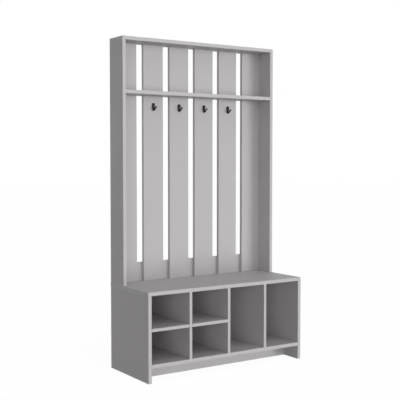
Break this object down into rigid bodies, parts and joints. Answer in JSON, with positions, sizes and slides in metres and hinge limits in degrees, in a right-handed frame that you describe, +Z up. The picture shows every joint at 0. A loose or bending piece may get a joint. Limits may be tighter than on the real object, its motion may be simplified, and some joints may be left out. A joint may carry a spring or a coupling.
{
  "type": "hall tree",
  "caption": "Free-standing hall tree: a bench with open cubbies under a slatted upper frame with a hat shelf, a top board and coat hooks.",
  "frame": {"origin": "on the floor, in the middle of the overall width and depth", "axes": "+Z up, -Y towards the user, so the front looks to -Y, +X to the user's right"},
  "size_m": [0.98, 0.403, 1.7499],
  "materials": {
    "grey_laminate": "matte laminate",
    "back_panel": "matte painted hardboard",
    "hook_black": "satin black",
    "black_screw": "satin black",
    "beech": "plain wood",
    "zinc": "die-cast zinc",
    "cap_plastic": "matte",
    "plated_steel": "zinc plated"
  },
  "bodies": {
    "root": {"back_panel_nails": "plated_steel", "bench_back_panel": "back_panel", "bench_bottom": "grey_laminate", "bench_left_side": "grey_laminate", "bench_right_side": "grey_laminate", "bench_top": "grey_laminate", "board_dowels": "beech", "bracket_screws": "plated_steel", "cam_bolts": "plated_steel", "cam_caps": "cap_plastic", "cam_housings": "zinc", "coat_hook_1": "hook_black", "coat_hook_2": "hook_black", "coat_hook_3": "hook_black", "coat_hook_4": "hook_black", "connector_caps": "cap_plastic", "connector_screws": "plated_steel", "cubby_shelf_left": "grey_laminate", "cubby_shelf_right": "grey_laminate", "divider_left": "grey_laminate", "divider_middle": "grey_laminate", "divider_right": "grey_laminate", "hook_screws": "black_screw", "kick_board": "grey_laminate", "lower_slat_1": "grey_laminate", "lower_slat_2": "grey_laminate", "lower_slat_3": "grey_laminate", "lower_slat_4": "grey_laminate", "lower_slat_5": "grey_laminate", "lower_slat_6": "grey_laminate", "rail_screws": "plated_steel", "shelf_dowels": "beech", "shelf_pins": "plated_steel", "slat_dowels": "beech", "slat_rail": "grey_laminate", "upper_left_side": "grey_laminate", "upper_right_side": "grey_laminate", "upper_shelf": "grey_laminate", "upper_slat_1": "grey_laminate", "upper_slat_2": "grey_laminate", "upper_slat_3": "grey_laminate", "upper_slat_4": "grey_laminate", "upper_slat_5": "grey_laminate", "upper_slat_6": "grey_laminate", "upper_top_board": "grey_laminate", "wall_bracket_left": "plated_steel", "wall_bracket_right": "plated_steel"}
  },
  "joints": []
}
